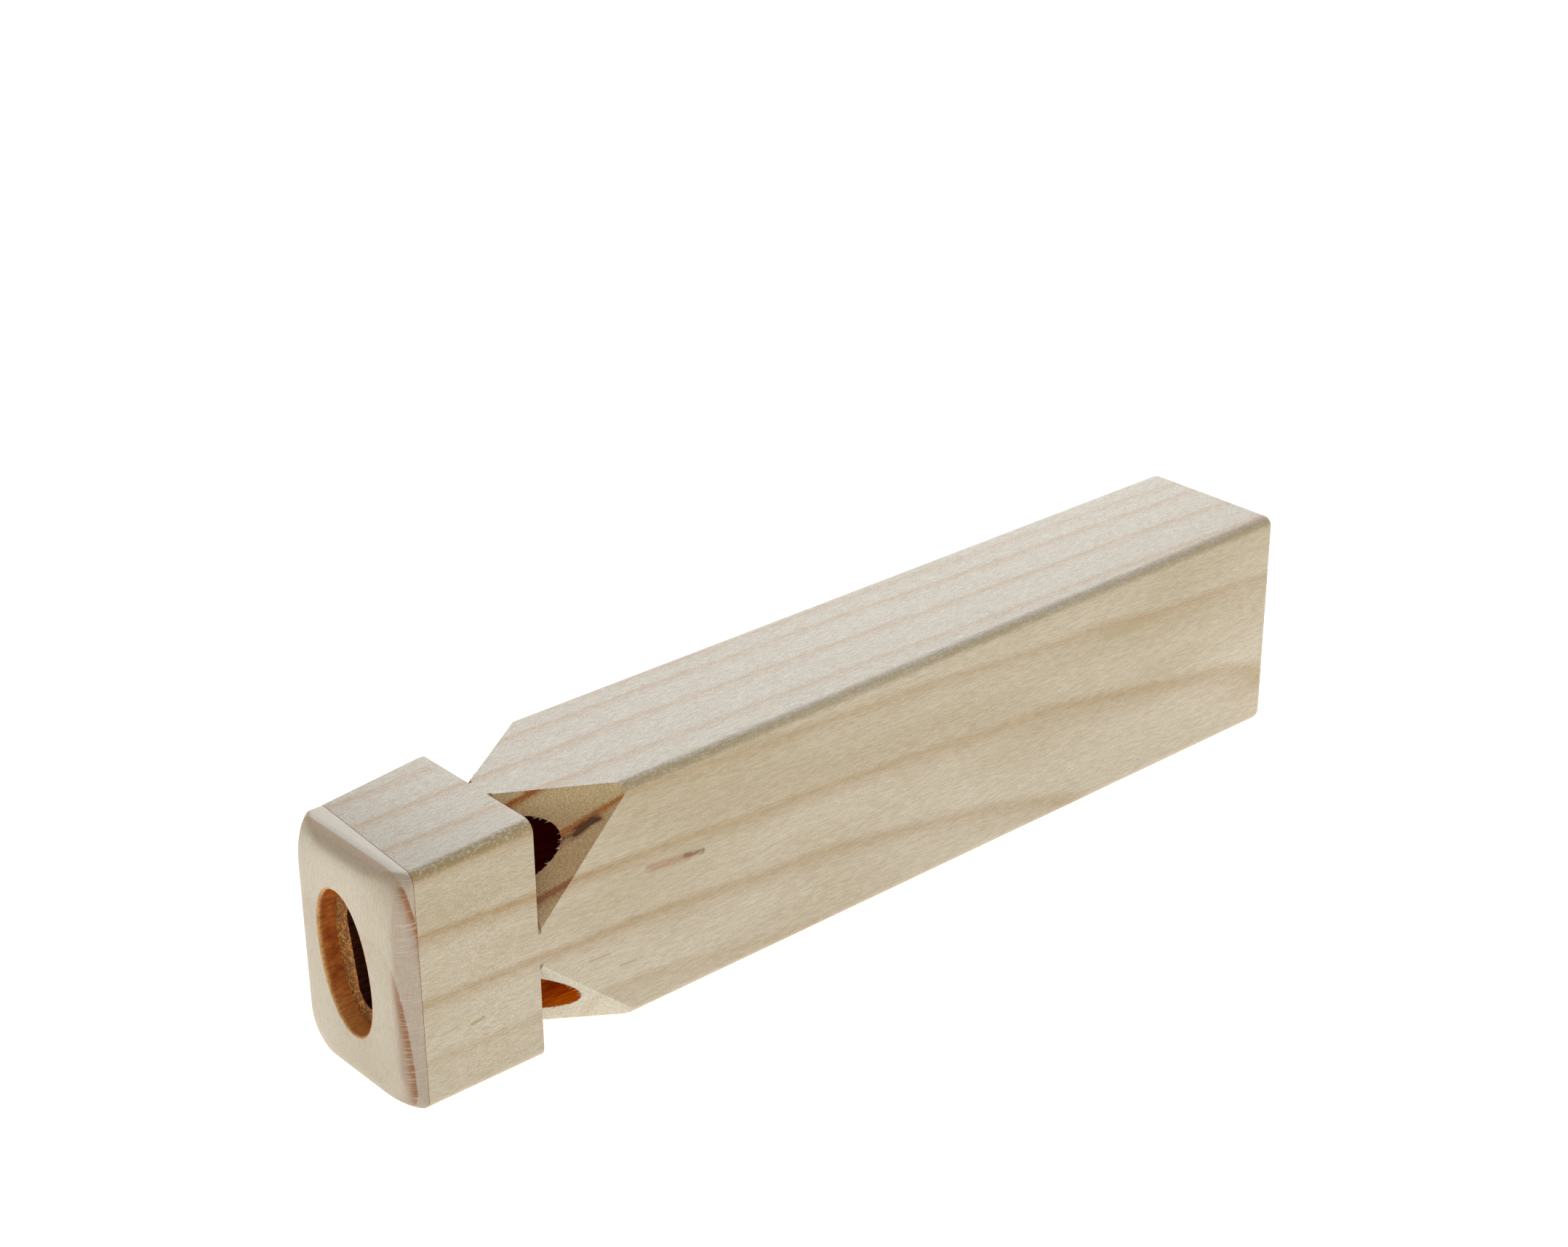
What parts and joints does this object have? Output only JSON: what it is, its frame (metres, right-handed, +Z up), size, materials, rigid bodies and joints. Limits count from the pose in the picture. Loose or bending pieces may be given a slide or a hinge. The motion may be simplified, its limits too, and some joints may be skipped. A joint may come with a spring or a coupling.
{
  "type": "wooden train whistle",
  "caption": "Wooden train whistle: a pine block with blind pipes, corner notches and flatted fipple plugs, closed by a rounded mouthpiece with an oval blow hole.",
  "frame": {"origin": "centre of the whistle's bounding box, on the face it rests on", "axes": "+X along the whistle from the mouthpiece to the rear end, +Y to its left side, +Z up"},
  "size_m": [0.1994, 0.03, 0.0426],
  "materials": {
    "pine_block": "bare sanded pine with pale tan growth rings",
    "pine_mouthpiece": "bare sanded pine with upright grain and red-brown late wood on its edges",
    "dowel": "bare dowel with rough end grain"
  },
  "bodies": {
    "root": {"body_block": "pine_block", "mouthpiece_cap": "pine_mouthpiece", "fipple_plug_top_right": "dowel", "fipple_plug_top_left": "dowel", "fipple_plug_bottom_right": "dowel", "fipple_plug_bottom_left": "dowel"}
  },
  "joints": []
}
